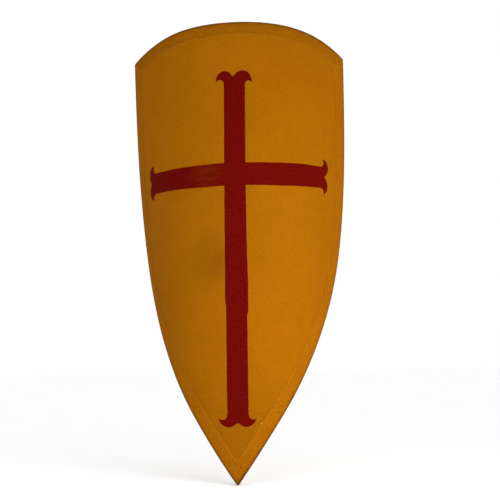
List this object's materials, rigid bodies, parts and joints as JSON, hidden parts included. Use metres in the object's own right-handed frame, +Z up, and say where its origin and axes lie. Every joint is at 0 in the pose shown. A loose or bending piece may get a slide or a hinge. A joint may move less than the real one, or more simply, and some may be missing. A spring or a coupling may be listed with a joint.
{
  "type": "curved pointed shield",
  "caption": "Bent wooden shield with an arched top and long point, leather-bound rim, painted cross on the front, and arm straps, buckle, pad and strap rings behind.",
  "frame": {"origin": "middle of the grip under the hand strap, on the hollow side", "axes": "+Z up the shield towards its arched top edge, +Y out of the hollow back towards the bearer, +X towards the elbow side, which is the right-hand side seen from the front"},
  "size_m": [0.4138, 0.1287, 0.8578],
  "materials": {
    "board": "matte",
    "painted_canvas": "matte",
    "linen": "matte",
    "rim_leather": "satin",
    "red_paint": "matte",
    "strap_leather": "satin",
    "pad_leather": "satin",
    "felt": "matte",
    "brass_fittings": "satin",
    "brass_tacks": "satin",
    "iron_fittings": "satin"
  },
  "bodies": {
    "board": {"core_ply_front": "board", "core_ply_middle": "board", "core_ply_back": "board", "canvas_facing": "painted_canvas", "back_lining": "linen", "binding_side_left": "rim_leather", "binding_side_right": "rim_leather", "binding_top_left": "rim_leather", "binding_top_right": "rim_leather", "painted_cross": "red_paint", "forearm_strap_upper": "strap_leather", "forearm_strap_lower": "strap_leather", "forearm_strap_keeper": "strap_leather", "hand_strap": "strap_leather", "fold_rivets": "brass_fittings", "strap_rivets": "iron_fittings", "strap_roves": "iron_fittings", "guige_tab_left": "strap_leather", "guige_tab_right": "strap_leather", "tab_rivets": "iron_fittings", "tab_roves": "iron_fittings", "pad_cover": "pad_leather", "pad_filling": "felt", "pad_tacks": "brass_tacks", "binding_tacks": "brass_tacks"},
    "buckle": {"buckle_frame": "brass_fittings"},
    "prong": {"buckle_prong": "brass_fittings"},
    "ring_left": {"guige_ring_left": "brass_fittings"},
    "ring_right": {"guige_ring_right": "brass_fittings"}
  },
  "joints": [
    {"name": "buckle_tilt", "type": "hinge", "parent": "board", "child": "buckle", "pos_m": [0.20214, 0.03405, -0.03184], "axis": [-0.8037, -0.5875, 0.0941], "range_deg": [0, 6]},
    {"name": "prong_lift", "type": "hinge", "parent": "buckle", "child": "prong", "pos_m": [0.20214, 0.03405, -0.03184], "axis": [-0.8037, -0.5875, 0.0941], "range_deg": [0, 30]},
    {"name": "ring_left_swing", "type": "hinge", "parent": "board", "child": "ring_left", "pos_m": [-0.03919, 0.00197, 0.14761], "axis": [0.788, -0.6157, 0], "range_deg": [-3, 160]},
    {"name": "ring_right_swing", "type": "hinge", "parent": "board", "child": "ring_right", "pos_m": [0.25699, 0.00197, 0.14761], "axis": [0.788, 0.6157, 0], "range_deg": [-3, 160]}
  ]
}
